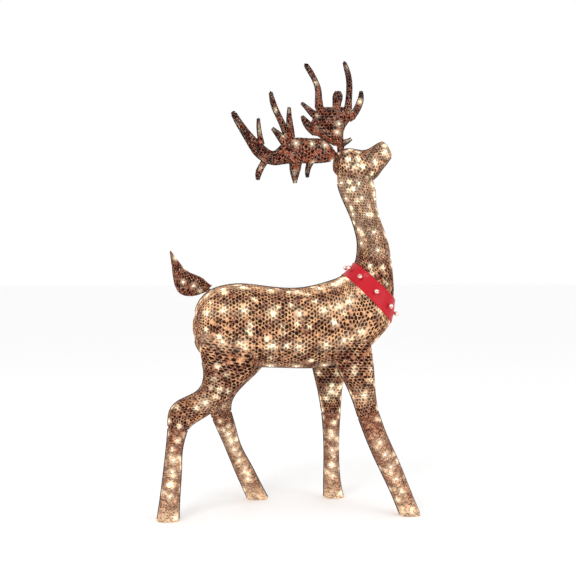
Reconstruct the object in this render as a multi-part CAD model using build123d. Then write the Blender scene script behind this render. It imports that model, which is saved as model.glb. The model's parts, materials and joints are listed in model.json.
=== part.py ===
"""Light-up yard reindeer: netting skins over bent-wire cages, with a light string clipped inside.

It stands on four legs and looks up. +X is the way it faces, +Z is up, and the origin is on the ground under
the middle of its box. The body and its four thighs are one piece. The neck with the head, the four lower
legs, the tail and the two antlers plug into it on steel posts and come off for storage.
"""
import os
from collections import namedtuple
from math import copysign, cos, radians, sin, tan

from build123d import *

# Overall sizes, in millimetres.
HEIGHT = 1300.0  # ground to the tip of the tallest antler tine
STANCE = 240.0  # sideways, between the middles of the left and right feet

# Netting and frame.
SKIN = 2.5  # thickness of the netting skin
SEAT = 0.45  # gap between a frame wire and the skin that is stretched over it
HOOP_WIRE = 4.0
LONG_WIRE = 4.0
CROSSING = 0.6  # gap where a lengthwise wire crosses inside a hoop
HOOP_BEND = 4.0  # bend radius at the corners of a hoop
WIRE_END = 0.8  # gap from the end of a lengthwise wire to the plate it is tacked to
LONG_BEND = 25.0  # bend radius of the lengthwise wires, where their runs are long enough
STRAIGHT = 1.0  # a turn of fewer degrees than this is left straight
PLATE = 2.5  # thickness of the steel bulkheads and foot plates
PLATE_EDGE = 2.6  # gap from the edge of a plate to the skin
PLATE_BACK = 5.0  # how far a bulkhead sits behind the face where two sections meet
MEETING_GAP = 0.4  # between the rims of two sections that plug together

# Plug-in posts.
LEG_POST = 12.0
LEG_POST_IN = 32.0
LEG_POST_OUT = 36.0
NECK_POST = 10.0
NECK_POST_IN = 55.0
NECK_POST_OUT = 60.0
NECK_POST_SPREAD = 70.0
STEM = 8.0  # antler stem
STEM_IN = 34.0
TAIL_POST = 6.0
TAIL_POST_IN = 30.0
POST_END = 3.0  # from the end of a post to the end of its socket
LEG_PLUG_OFFSET = 13.2  # sideways, from the middle of a leg post to its power plug
TAIL_SEAT = 0.5  # gap round the plate at the tail's root
TAIL_FACE = 6.0  # how far the tail's socket stops short of the tail
SLIP = 0.25  # radial clearance of a post in its socket
TUBE_WALL = 1.8
WELD = 0.15  # gap between a tube and the hole it is welded into

# Ground-stake tubes in the feet, for a 6 mm stake.
STAKE_BORE = 6.6
STAKE_TUBE = 9.6
STAKE_DEPTH = 45.0

# Lights.
LENS = 5.0
LENS_LONG = 5.5
HOLDER = 6.0
HOLDER_LONG = 8.6
CORD = 2.0
CORD_GAP = 0.4  # from the side of a holder to the end of the cord between two lights
HOLDER_GAP = 0.25  # from a holder to the hoop it is clipped to
LENS_GAP = 0.8  # from the tip of a lens to the skin
JACK = 9.0
JACK_LONG = 14.0
PLUG_PIN = 3.0
PLUG_PIN_LONG = 8.0
INLET = 14.0
INLET_BORE = 5.5
INLET_DEPTH = 12.0
INLET_PROUD = 6.0  # how far the inlet stands out below the belly

# Collar and bells.
COLLAR_LIFT = 1.5
COLLAR_THICK = 2.5
BELL = 14.0
BELL_WALL = 0.8
BELL_SLOT = 1.6
PELLET = 4.0
SHANK = 3.0
SHANK_LONG = 2.0
SHANK_GAP = 0.8  # from a bell's shank to the ribbon that it is sewn to

# Antler cores.
BEAM_WIRE = 6.0
TINE_WIRE = 3.0
CORE_SLIP = 0.3
HOLLOW_BEAM = 5  # stations of an antler's beam that are hollow round its core
BEAM_BEND = 25.0
TINE_BEND = 8.0
TAIL_BEND = 20.0

# Every station below is drawn for this height and stance.
DRAWN_HEIGHT = 1300.0
DRAWN_STANCE = 240.0
DRAWN_LEFT, DRAWN_RIGHT = -370.0, 357.0  # heel of the hind foot, toe of the front foot
TALL = HEIGHT / DRAWN_HEIGHT
WIDE = STANCE / DRAWN_STANCE
MIDDLE = (DRAWN_LEFT + DRAWN_RIGHT) / 2

Station = namedtuple("Station", "x1 z1 x2 z2 y half")
ROUND = 2.2  # superellipse power of the body, neck, head and tail sections
BOXY = 3.4  # power of the leg sections


def stations(*rows):
    """Cross sections of a tube: the two edge points in the XZ plane, the middle's Y and half the width."""
    return [
        Station((a - MIDDLE) * TALL, b * TALL, (c - MIDDLE) * TALL, d * TALL, y * WIDE, h * WIDE)
        for a, b, c, d, y, h in rows
    ]


TORSO = stations(
    (-268, 545, -268, 497, 0, 30),
    (-258, 584, -260, 462, 0, 66),
    (-234, 615, -238, 438, 0, 94),
    (-190, 635, -196, 418, 0, 112),
    (-137, 641, -140, 408, 0, 118),
    (-60, 633, -60, 405, 0, 118),
    (15, 628, 15, 402, 0, 116),
    (80, 637, 92, 403, 0, 113),
    (118, 648, 150, 414, 0, 108),
    (136, 654, 210, 440, 0, 104),
    (147, 659, 262, 488, 0, 98),
    (155, 663, 290, 522, 0, 92),
    (164, 670, 298, 548, 0, 86),
    (176, 681, 301, 562, 0, 82),
)
NECK = stations(
    (176, 681, 301, 562, 0, 82),
    (192, 700, 303, 594, 0, 78),
    (199, 728, 303, 640, 0, 74),
    (200, 758, 297, 700, 0, 69),
    (193, 795, 285, 768, 0, 63),
    (178, 838, 264, 826, 0, 57),
    (158, 882, 252, 876, 0, 53),
    (143, 926, 250, 912, 0, 51),
    (142, 966, 243, 942, 0, 44),
)
HEAD = stations(
    (134, 1002, 134, 960, 0, 30),
    (146, 1019, 160, 936, 0, 42),
    (172, 1028, 205, 928, 0, 50),
    (198, 1025, 240, 938, 0, 49),
    (216, 1023, 256, 951, 0, 44),
    (236, 1029, 270, 970, 0, 37),
    (258, 1043, 284, 987, 0, 30),
    (274, 1049, 298, 1008, 0, 24),
)
TAIL = stations(
    (-240, 617, -223, 640, 0, 9),
    (-256, 611, -240, 655, 0, 17),
    (-280, 607, -262, 667, 0, 22),
    (-310, 616, -286, 678, 0, 22),
    (-324, 642, -299, 690, 0, 17),
    (-330, 680, -312, 706, 0, 11),
    (-337, 733, -334, 736, 0, 3),
)
LEGS = ("near_hind", "far_hind", "near_front", "far_front")
UPPER = {
    "near_hind": stations(
        (-110, 490, -250, 505, -66, 38),
        (-95, 425, -252, 455, -72, 40),
        (-140, 362, -242, 402, -80, 36),
        (-206, 300, -264, 345, -89, 30),
        (-276, 256, -337, 292, -100, 25),
        (-288, 244, -340, 250, -104, 24),
    ),
    "far_hind": stations(
        (-90, 490, -245, 505, 66, 38),
        (-60, 425, -246, 455, 72, 40),
        (-108, 360, -230, 402, 80, 36),
        (-140, 327, -227, 352, 85, 31),
        (-158, 298, -228, 305, 90, 27),
        (-162, 265, -214, 243, 95, 24),
    ),
    "near_front": stations(
        (226, 478, 118, 480, -62, 36),
        (231, 428, 122, 430, -74, 38),
        (233, 390, 140, 390, -82, 35),
        (235, 340, 165, 338, -90, 29),
        (241, 291, 188, 269, -95, 24),
    ),
    "far_front": stations(
        (190, 470, 78, 470, 62, 36),
        (184, 420, 76, 420, 72, 38),
        (176, 378, 84, 378, 80, 34),
        (167, 330, 96, 330, 86, 29),
        (163, 258, 109, 260, 92, 24),
    ),
}
LOWER = {
    "near_hind": stations(
        (-288, 244, -340, 250, -104, 24),
        (-301, 198, -344, 203, -108, 21),
        (-305, 136, -351, 141, -112, 22),
        (-309, 71, -359, 76, -116, 24),
        (-312, 0, -370, 0, -120, 26),
    ),
    "far_hind": stations(
        (-162, 265, -214, 243, 95, 24),
        (-148, 215, -193, 196, 99, 22),
        (-134, 166, -173, 149, 103, 21),
        (-101, 101, -146, 82, 110, 22),
        (-76, 51, -128, 41, 115, 24),
        (-50, 0, -110, 0, 120, 26),
    ),
    "near_front": stations(
        (241, 291, 188, 269, -95, 24),
        (267, 218, 215, 197, -102, 22),
        (297, 150, 245, 130, -108, 22),
        (324, 82, 276, 64, -114, 23),
        (357, 0, 302, 0, -120, 26),
    ),
    "far_front": stations(
        (163, 258, 109, 260, 92, 24),
        (160, 197, 115, 198, 98, 21),
        (161, 106, 118, 106, 107, 21),
        (167, 44, 118, 45, 113, 23),
        (177, 0, 119, 0, 120, 26),
    ),
}


def halved(sts):
    """The stations with one more halfway between each pair, so that rings can stand closer."""
    finer = [sts[0]]
    for one, other in zip(sts, sts[1:]):
        finer += [Station(*((a + b) / 2 for a, b in zip(one, other))), other]
    return finer


LOWER = {leg: halved(sts) for leg, sts in LOWER.items()}


def place(x, y, z):
    """A drawn point at the set height and stance."""
    return Vector((x - MIDDLE) * TALL, y * WIDE, z * TALL)


# Antlers: a beam of flat stations, and tines of (x, y, z, radius) with a round section.
ANTLERS = {
    "near_antler": dict(
        lights=((1, 305), (2, 305), (3, 305)),
        seat=place(139, -24, 999),
        beam=stations(
            (122, 992, 130, 1020, -29, 12),
            (96, 986, 97, 1046, -41, 14),
            (58, 983, 60, 1049, -50, 14),
            (10, 982, 15, 1049, -60, 14),
            (-28, 977, -22, 1032, -68, 12),
            (-50, 975, -45, 1011, -74, 11),
            (-84, 987, -68, 1018, -80, 10),
            (-120, 1029, -104, 1050, -88, 8),
            (-153, 1084, -140, 1092, -97, 6),
            (-168, 1113, -158, 1118, -102, 5),
        ),
        tines=(
            ((-82, -82, 1020, 9), (-86, -84, 1048, 5.5), (-90, -86, 1075, 4), (-91, -88, 1102, 2)),
            ((-8, -64, 1028, 12), (-24, -72, 1046, 9.5), (-40, -80, 1062, 6), (-54, -86, 1075, 2)),
            ((-4, -64, 1042, 11), (-16, -68, 1072, 8), (-34, -76, 1108, 6.5), (-50, -84, 1143, 6),
             (-58, -90, 1176, 2.5)),
            ((2, -62, 1042, 10), (0, -56, 1075, 8.5), (-2, -50, 1105, 6), (-2, -46, 1140, 2.2)),
            ((-66, -78, 992, 8), (-82, -80, 968, 7), (-90, -76, 950, 7), (-92, -72, 930, 2)),
            ((16, -58, 992, 16), (14, -54, 962, 13), (14, -48, 940, 7), (15, -44, 924, 2)),
            ((60, -50, 992, 10), (53, -44, 972, 6), (50, -40, 955, 4.5), (51, -38, 941, 2)),
        ),
    ),
    "far_antler": dict(
        lights=((2, 305), (3, 305)),
        seat=place(152, 20, 1010),
        beam=stations(
            (142, 1040, 170, 1040, 32, 11),
            (112, 1056, 164, 1054, 38, 13),
            (84, 1078, 163, 1078, 46, 14),
            (73, 1105, 174, 1105, 54, 14),
            (84, 1130, 190, 1130, 60, 13),
            (93, 1148, 185, 1150, 65, 9),
            (102, 1156, 176, 1158, 68, 4),
        ),
        tines=(
            ((99, 62, 1138, 13), (96, 70, 1175, 9), (95, 80, 1212, 7), (84, 90, 1245, 6),
             (70, 98, 1272, 6), (59, 102, 1290, 4)),
            ((150, 64, 1142, 13), (149, 68, 1165, 10), (152, 74, 1184, 13), (154, 78, 1198, 11),
             (154, 80, 1207, 5)),
            ((180, 62, 1136, 12), (184, 70, 1170, 8), (188, 80, 1210, 7), (187, 88, 1250, 6.5),
             (180, 94, 1280, 5), (174, 97, 1299, 2)),
            ((182, 58, 1122, 13), (202, 62, 1142, 8.5), (214, 66, 1164, 8), (221, 70, 1186, 6.5),
             (222, 72, 1208, 2.5)),
            ((90, 60, 1126, 10), (70, 70, 1146, 7), (55, 80, 1163, 4), (46, 86, 1172, 2)),
            ((92, 48, 1078, 13), (68, 58, 1098, 11), (55, 66, 1116, 7.5), (46, 72, 1132, 2)),
            ((156, 33, 1047, 8), (172, 27, 1052, 5.5), (186, 20, 1060, 2)),
        ),
    ),
}


# ------------------------------------------------------------------ sections, tubes and wires


def section(st):
    """Middle of a station, half its length, and its unit vectors: across, sideways and forward."""
    across = Vector(st.x2 - st.x1, 0, st.z2 - st.z1)
    middle = Vector((st.x1 + st.x2) / 2, st.y, (st.z1 + st.z2) / 2)
    unit = across.normalized()
    return middle, across.length / 2, unit, Vector(0, 1, 0), unit.cross(Vector(0, 1, 0))


def moved(st, distance):
    """The same station moved forward, square to its plane."""
    step = section(st)[4] * distance
    return Station(st.x1 + step.X, st.z1 + step.Z, st.x2 + step.X, st.z2 + step.Z, st.y, st.half)


def between(sts, position):
    """The station at a fractional place in the list."""
    i = min(int(position), len(sts) - 2)
    share = position - i
    return Station(*(a + (b - a) * share for a, b in zip(sts[i], sts[i + 1])))


def beside(sts, i, distance):
    """The section at a distance from station i towards the next, turned parallel to it."""
    start, _, across, _, forward = section(sts[i])
    share = distance / abs((section(sts[i + 1])[0] - start).dot(forward))
    near = between(sts, i + share)
    middle, a, _, _, _ = section(near)
    one, other = middle - across * a, middle + across * a
    return Station(one.X, one.Z, other.X, other.Z, near.y, near.half)


def ring_point(st, angle, inset, power):
    """A point of the superellipse |p/a|^n + |q/b|^n = 1, drawn in by inset, and its outward direction."""
    middle, a, across, side, _ = section(st)
    a, b = a - inset, st.half - inset
    c, s = cos(radians(angle)), sin(radians(angle))
    p = copysign(abs(c) ** (2 / power), c)
    q = copysign(abs(s) ** (2 / power), s)
    along_p = copysign(abs(p) ** (power - 1), p) / a
    along_q = copysign(abs(q) ** (power - 1), q) / b
    return middle + across * (a * p) + side * (b * q), (across * along_p + side * along_q).normalized()


def ring(st, inset, power, count=24):
    """The face inside a station's superellipse, drawn in by inset."""
    points = [ring_point(st, 360 * i / count, inset, power)[0] for i in range(count)]
    return Face(Wire([Edge.make_spline(points, periodic=True)]))


def tube(sts, inset, power):
    """The solid that passes smoothly through every station."""
    return Solid.make_loft([ring(st, inset, power).outer_wire() for st in sts])


def joined(solids):
    """One solid from several that cross."""
    whole = solids[0]
    for each in solids[1:]:
        whole = whole.fuse(each)
    return whole


def turn_at(before, at, after):
    """How far a path turns at a point, in degrees."""
    return (at - before).get_angle(after - at)


def bend_radius(before, at, after, largest):
    """The largest bend that two runs leave room for, up to a limit."""
    shorter = min((at - before).length, (after - at).length)
    return min(largest, 0.45 * shorter / tan(radians(turn_at(before, at, after) / 2)))


def largest(shape):
    """The largest solid of a shape that a cut left in pieces."""
    return max(shape.solids(), key=lambda each: each.volume)


def wire(points, size, bend):
    """A round wire through the points, with bends where it turns."""
    kept = [points[0]]
    for at, after in zip(points[1:], points[2:]):
        if turn_at(kept[-1], at, after) > STRAIGHT:
            kept.append(at)
    kept.append(points[-1])
    radii = [bend_radius(*three, bend) for three in zip(kept, kept[1:], kept[2:])]
    path = FilletPolyline(*kept, radius=radii) if radii else Line(*kept)
    start = Plane(origin=path @ 0, z_dir=path % 0)
    return sweep(start * Circle(size / 2), path=path).solid()


def rod(start, end, size):
    """A straight round rod between two points."""
    return Solid.make_cylinder(size / 2, (end - start).length, Plane(origin=start, z_dir=end - start))


def pipe(start, end, outer, bore):
    """A straight tube between two points."""
    return rod(start, end, outer).cut(rod(start, end, bore)).solid()


HOOP_INSET = SKIN + SEAT + HOOP_WIRE / 2
LONG_INSET = SKIN + SEAT + HOOP_WIRE + CROSSING + LONG_WIRE / 2


def hoop(st, power):
    """A closed hoop of wire just inside the skin, bent at 12 corners, or at 8 in a boxy leg."""
    count = 8 if power == BOXY else 12
    corners = [ring_point(st, 360 * i / count, HOOP_INSET, power)[0] for i in range(count)]
    path = FilletPolyline(*corners, radius=HOOP_BEND, close=True)
    start = Plane(origin=path @ 0, z_dir=path % 0)
    return sweep(start * Circle(HOOP_WIRE / 2), path=path).solid()


def long_wire(sts, angle, power):
    """A lengthwise wire that lies inside the hoops at one angle round the tube."""
    return wire([ring_point(st, angle, LONG_INSET, power)[0] for st in sts], LONG_WIRE, LONG_BEND)


# ------------------------------------------------------------------ lights

Light = namedtuple("Light", "spot out")
BESIDE_HOOP = HOOP_WIRE / 2 + HOLDER / 2 + HOLDER_GAP  # a light's side lies against its hoop
CORD_DEPTH = LENS_LONG + HOLDER_LONG / 2


def light_at(st, angle, power):
    """A light inside a section's skin: the tip of its lens, and the way it shines."""
    return Light(*ring_point(st, angle, SKIN + LENS_GAP, power))


def lens(light):
    """A clear cylinder with a domed tip."""
    dome = LENS / 2
    base = light.spot - light.out * LENS_LONG
    neck = light.spot - light.out * dome
    return rod(base, neck, LENS).fuse(Solid.make_sphere(dome, Plane(origin=neck, z_dir=light.out), angle1=0))


def holder(light):
    """The moulded holder behind a lens."""
    top = light.spot - light.out * LENS_LONG
    return rod(top - light.out * HOLDER_LONG, top, HOLDER)


def cord_start(way, out):
    """From a holder's middle to the end of a cord that leaves it at a slant."""
    slant = abs(way.dot(out))
    return (HOLDER / 2 + CORD_GAP + CORD / 2 * slant) / (1 - slant**2) ** 0.5


def cords(lights):
    """The straight lengths of cord from each holder's side to the next."""
    made = []
    for one, other in zip(lights, lights[1:]):
        start, end = (each.spot - each.out * CORD_DEPTH for each in (one, other))
        way = (end - start).normalized()
        made.append(rod(start + way * cord_start(way, one.out), end - way * cord_start(way, other.out), CORD))
    return made


def string(lights):
    """The holders and cords of one run of lights."""
    return [holder(each) for each in lights] + cords(lights)


def round_hoops(sts, hoops, angles, power):
    """Lights beside several hoops, the run going round each hoop the other way from the last."""
    run = []
    for count, i in enumerate(hoops):
        turn = angles if count % 2 == 0 else angles[::-1]
        run += [light_at(beside(sts, i, BESIDE_HOOP), angle, power) for angle in turn]
    return run


# ------------------------------------------------------------------ plug-in joints


def bulkhead(sts, power):
    """The steel plate across a section that starts with these stations, behind the face where it plugs in."""
    near = beside(sts, 0, PLATE_BACK + PLATE)
    forward = section(near)[4]
    inward = copysign(1, (section(sts[0])[0] - section(near)[0]).dot(forward))
    return Solid.extrude(ring(near, SKIN + PLATE_EDGE, power), forward * (inward * PLATE))


def behind_plate(sts):
    """The section just past a bulkhead's inner face, where lengthwise wires end."""
    return beside(sts, 0, PLATE_BACK + PLATE + WIRE_END)


def post_axis(st, offset=0.0):
    """Middle of a joint, moved sideways by offset, and the way the outer section pulls off."""
    middle, _, _, side, forward = section(st)
    return middle + side * offset, forward


def socket_tube(st, post, long, offset=0.0):
    """The tube that a post slides into, welded through the bulkhead."""
    at, out = post_axis(st, offset)
    return pipe(at - out * (PLATE_BACK + long + POST_END), at - out * PLATE_BACK, post + 2 * (SLIP + TUBE_WALL),
                post + 2 * SLIP)


def socket_hole(st, post, offset=0.0):
    """The hole in a bulkhead for a socket tube."""
    at, out = post_axis(st, offset)
    return rod(at - out * 3 * (PLATE_BACK + PLATE), at, post + 2 * (SLIP + TUBE_WALL + WELD))


def post(st, size, inside, outside, offset=0.0):
    """A post that runs from inside one section to inside the next, square to the joint."""
    at, out = post_axis(st, offset)
    return rod(at - out * (PLATE_BACK + inside), at + out * (PLATE_BACK + outside), size)


def jack(st, offset):
    """The power jack behind a bulkhead, with a bore for the plug's pin."""
    at, out = post_axis(st, offset)
    face = at - out * (PLATE_BACK + PLATE + CROSSING)
    return pipe(face - out * JACK_LONG, face, JACK, PLUG_PIN + 2 * SLIP)


def pin_hole(st, offset):
    """The hole in a bulkhead for the plug's pin."""
    at, out = post_axis(st, offset)
    return rod(at - out * 3 * (PLATE_BACK + PLATE), at, PLUG_PIN + 4 * SLIP)


def plug(st, offset):
    """The plug on the outer section's bulkhead, with its pin in the jack."""
    at, out = post_axis(st, offset)
    body = rod(at - out * (PLATE_BACK - CROSSING), at + out * (PLATE_BACK - CROSSING), JACK)
    pin = rod(at - out * (PLATE_BACK + PLATE + CROSSING + PLUG_PIN_LONG), at, PLUG_PIN)
    return body.fuse(pin).solid()


# ------------------------------------------------------------------ body

NODES = {}
JOINT_LEG = {leg: UPPER[leg][-1] for leg in LEGS}
JOINT_NECK = TORSO[-1]
TORSO_HOOPS = (2, 3, 4, 5, 6, 7, 8, 9, 11)
SIXTHS = (0, 60, 120, 180, 240, 300)
TORSO_LIGHTS = tuple(22.5 + 45 * i for i in range(8))
THIGH_RINGS = {"near_hind": (3,), "far_hind": (3, 4), "near_front": (3,), "far_front": (3,)}
CORNERS = (45, 135, 225, 315)
SIDES = (90, 270)


def open_end(sts):
    """Stations cut short by half the gap at the end where the next section plugs in."""
    return sts[:-1] + [moved(sts[-1], -MEETING_GAP / 2)]


def open_start(sts):
    """Stations cut short by half the gap at the end that plugs into the section before."""
    return [moved(sts[0], MEETING_GAP / 2)] + sts[1:]


def closed_start(sts):
    """Inner stations that leave the skin's thickness across the first end."""
    return [moved(sts[0], SKIN)] + sts[1:]


def closed_end(sts):
    """Inner stations that leave the skin's thickness across the last end."""
    return sts[:-1] + [moved(sts[-1], -SKIN)]


def build_body():
    """Torso, thighs and everything that stays with them."""
    torso = open_end(TORSO)
    thighs = [open_end(UPPER[leg]) for leg in LEGS]
    outer = joined([tube(torso, 0, ROUND)] + [tube(each, 0, BOXY) for each in thighs])
    inner = joined([tube(closed_start(torso), SKIN, ROUND)] + [tube(each, SKIN, BOXY) for each in thighs])
    tail_at, tail_out = post_axis(TAIL[0])
    inlet_low, inlet_high = inlet_ends()
    holes = [
        rod(tail_at - tail_out * 4 * TAIL_POST_IN, tail_at, TAIL_POST + 2 * (SLIP + TUBE_WALL + WELD)),
        rod(inlet_low, inlet_high, INLET + 2 * WELD),
    ]
    NODES["body_skin"] = [outer.cut(inner).cut(*holes).solid()]
    NODES["body_hoops"] = [hoop(TORSO[i], ROUND) for i in TORSO_HOOPS]
    last = behind_plate(TORSO[::-1])
    NODES["body_long_wires"] = [long_wire(TORSO[3:-2] + [last], angle, ROUND) for angle in SIXTHS]
    NODES["thigh_wires"] = [
        long_wire(UPPER[leg][2:-1] + [behind_plate(UPPER[leg][::-1])], angle, BOXY)
        for leg in LEGS
        for angle in CORNERS
    ]
    NODES["thigh_rings"] = [hoop(UPPER[leg][i], BOXY) for leg in LEGS for i in THIGH_RINGS[leg]]
    plates = []
    for leg in LEGS:
        st = JOINT_LEG[leg]
        holes = [socket_hole(st, LEG_POST), pin_hole(st, LEG_PLUG_OFFSET)]
        plates.append(bulkhead(UPPER[leg][::-1], BOXY).cut(*holes).solid())
    neck_holes = [socket_hole(JOINT_NECK, NECK_POST, way * NECK_POST_SPREAD / 2) for way in (-1, 1)]
    plates.append(bulkhead(TORSO[::-1], ROUND).cut(pin_hole(JOINT_NECK, 0), *neck_holes).solid())
    NODES["bulkheads"] = plates
    NODES["post_sockets"] = [socket_tube(JOINT_LEG[leg], LEG_POST, LEG_POST_IN) for leg in LEGS] + [
        socket_tube(JOINT_NECK, NECK_POST, NECK_POST_IN, way * NECK_POST_SPREAD / 2) for way in (-1, 1)
    ]
    NODES["power_jacks"] = [jack(JOINT_LEG[leg], LEG_PLUG_OFFSET) for leg in LEGS] + [jack(JOINT_NECK, 0)]
    NODES["tail_socket"] = [
        pipe(tail_at - tail_out * (TAIL_POST_IN + POST_END), tail_at - tail_out * TAIL_FACE,
             TAIL_POST + 2 * (SLIP + TUBE_WALL), TAIL_POST + 2 * SLIP)
    ]
    body_run = round_hoops(TORSO, TORSO_HOOPS, TORSO_LIGHTS, ROUND)
    thigh_runs = [round_hoops(UPPER[leg], THIGH_RINGS[leg], SIDES, BOXY) for leg in LEGS]
    NODES["body_light_string"] = string(body_run) + [holder(each) for run in thigh_runs for each in run]
    NODES["body_led_lenses"] = [lens(each) for run in [body_run] + thigh_runs for each in run]
    bore = rod(inlet_low, inlet_low + Vector(0, 0, INLET_DEPTH), INLET_BORE)
    NODES["power_inlet"] = [rod(inlet_low, inlet_high, INLET).cut(bore).solid()]


def inlet_ends():
    """Bottom and top of the power inlet, which hangs from the belly wire between the hind legs."""
    st = between(TORSO, 3.5)
    low = Vector(st.x2, 0, st.z2 - INLET_PROUD)
    top = st.z2 + LONG_INSET - LONG_WIRE / 2 - WIRE_END
    return low, Vector(low.X, 0, top)


# ------------------------------------------------------------------ neck and head

NECK_HOOPS = (1, 3, 4, 5, 6, 7)
NECK_LIT = (3, 4, 5, 6, 7)
NECK_LIGHTS = (30, 90, 150, 210, 270, 330)
HEAD_HOOPS = (2, 4, 6)
HEAD_LIGHTS = (90, 270)
HEAD_LONG = (60, 120, 240, 300)


def build_head():
    """The neck and head in one skin, on two posts."""
    neck = open_start(NECK)
    outer = joined([tube(neck, 0, ROUND), tube(HEAD, 0, ROUND)])
    inner = joined([tube(neck, SKIN, ROUND), tube(closed_end(closed_start(HEAD)), SKIN, ROUND)])
    stems = []
    for antler in ANTLERS.values():
        at, out = stem_axis(antler)
        stems.append(rod(at - out * STEM_IN, at + out * STEM_IN, STEM + 2 * (SLIP + TUBE_WALL + WELD)))
    NODES["head_skin"] = [outer.cut(inner).cut(*stems).solid()]
    first = behind_plate(NECK)
    NODES["head_long_wires"] = [long_wire([first] + NECK[1:8], angle, ROUND) for angle in SIXTHS]
    NODES["head_long_wires"] += [long_wire(HEAD[1:7], angle, ROUND) for angle in HEAD_LONG]
    NODES["head_hoops"] = [hoop(NECK[i], ROUND) for i in NECK_HOOPS]
    NODES["head_hoops"] += [hoop(HEAD[i], ROUND) for i in HEAD_HOOPS]
    posts = [
        post(JOINT_NECK, NECK_POST, NECK_POST_IN, NECK_POST_OUT, way * NECK_POST_SPREAD / 2)
        for way in (-1, 1)
    ]
    NODES["neck_posts"] = [joined([bulkhead(NECK, ROUND)] + posts).solid()]
    NODES["neck_power_plug"] = [plug(JOINT_NECK, 0)]
    NODES["antler_sockets"] = []
    for antler in ANTLERS.values():
        at, out = stem_axis(antler)
        NODES["antler_sockets"].append(
            pipe(at - out * (STEM_IN + POST_END), at, STEM + 2 * (SLIP + TUBE_WALL), STEM + 2 * SLIP)
        )
    neck_run = round_hoops(NECK, NECK_LIT, NECK_LIGHTS, ROUND)
    head_run = round_hoops(HEAD, HEAD_HOOPS, HEAD_LIGHTS, ROUND)
    NODES["head_light_string"] = string(neck_run) + [holder(each) for each in head_run]
    NODES["head_led_lenses"] = [lens(each) for each in neck_run + head_run]


# ------------------------------------------------------------------ collar and bells

BELLS = 10


def build_collar():
    """A ribbon round the joint of the neck, with round bells sewn on."""
    around = [TORSO[-3], TORSO[-2], TORSO[-1], NECK[1]]
    below, above = between(around, 0.6), between(around, 2.75)
    rings = [below, TORSO[-2], TORSO[-1], above]
    band = tube(rings, -(COLLAR_LIFT + COLLAR_THICK), ROUND).cut(tube(rings, -COLLAR_LIFT, ROUND))
    NODES["collar_band"] = [band.solid()]
    bells, pellets = [], []
    for i in range(BELLS):
        surface, out = ring_point(JOINT_NECK, 18 + 360 * i / BELLS, -(COLLAR_LIFT + COLLAR_THICK), ROUND)
        middle = surface + out * (SHANK_LONG + BELL / 2)
        bells.append(bell(middle, out))
        pellets.append(Pos(middle.X, middle.Y, middle.Z - (BELL - PELLET) / 2 + BELL_WALL + CROSSING)
                       * Solid.make_sphere(PELLET / 2))
    NODES["collar_bells"] = bells
    NODES["bell_pellets"] = pellets


def bell(middle, out):
    """A round bell: a hollow ball with a slot across its outer end and a shank on the ribbon's side."""
    plane = Plane(origin=middle, z_dir=out)
    ball = plane * Solid.make_sphere(BELL / 2)
    hollow = plane * Solid.make_sphere(BELL / 2 - BELL_WALL)
    slot = plane * Pos(-BELL / 2, -BELL_SLOT / 2, BELL / 8) * Solid.make_box(BELL, BELL_SLOT, BELL)
    foot = middle - out * (BELL / 2 + SHANK_LONG - SHANK_GAP)
    shank = rod(foot, middle - out * (BELL / 2 - BELL_WALL / 2), SHANK)
    return ball.cut(hollow).cut(slot).fuse(shank).solid()


# ------------------------------------------------------------------ antlers


def tine_plane(points, i):
    """The plane square to a tine at one of its points."""
    before, after = points[max(i - 1, 0)], points[min(i + 1, len(points) - 1)]
    return Plane(origin=points[i], z_dir=after - before)


def tine(rows, grow):
    """A round tapering tine through the points of its rows, with its radius grown."""
    points = [place(x, y, z) for x, y, z, _ in rows]
    rings = [
        Wire([Edge.make_circle(row[3] + grow, tine_plane(points, i))]) for i, row in enumerate(rows)
    ]
    return Solid.make_loft(rings)


def stem_axis(antler):
    """Where an antler's stem leaves the skull, and the way it points."""
    return antler["seat"], (section(antler["beam"][0])[0] - antler["seat"]).normalized()


def build_antler(name, antler):
    """One antler: a beam and tines of netting over bent steel wires, on a stem that turns in the skull."""
    at, out = stem_axis(antler)
    beam = antler["beam"]
    middles = [section(st)[0] for st in beam[:HOLLOW_BEAM]]
    middles[-1] = middles[-1] + (middles[-2] - middles[-1]).normalized() * BEAM_WIRE
    knee = middles[0] + out * STEM
    stem = rod(at - out * STEM_IN, knee, STEM)
    spine = wire([knee] + middles[1:], BEAM_WIRE, BEAM_BEND)
    spine_bore = wire([knee] + middles[1:], BEAM_WIRE + 2 * CORE_SLIP, BEAM_BEND)
    body = tube(beam, 0, ROUND)
    swollen = tube(beam, -CORE_SLIP, ROUND)
    skins, wires, neighbours = [], [], []
    for rows in antler["tines"]:
        skin = largest(tine(rows, 0).cut(swollen, *neighbours))
        neighbours.append(tine(rows, CORE_SLIP))
        inside = [place(x, y, z) for x, y, z, _ in rows][1:-1]
        if len(inside) > 1:
            wires.append(wire(inside, TINE_WIRE, TINE_BEND))
            skin = skin.cut(wire(inside, TINE_WIRE + 2 * CORE_SLIP, TINE_BEND)).solid()
        skins.append(skin)
    stem_bore = rod(at, knee + out * CORE_SLIP, STEM + 2 * CORE_SLIP)
    shell = body.cut(tube(closed_start(beam)[:HOLLOW_BEAM], SKIN, ROUND)).cut(stem_bore).cut(spine_bore).solid()
    NODES[name + "_skin"] = [shell] + skins
    NODES[name + "_core"] = [stem.fuse(spine).solid()] + wires
    run = [light_at(beam[i], angle, ROUND) for i, angle in antler["lights"]]
    NODES[name + "_light_string"] = string(run)
    NODES[name + "_led_lenses"] = [lens(each) for each in run]


# ------------------------------------------------------------------ tail


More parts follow.
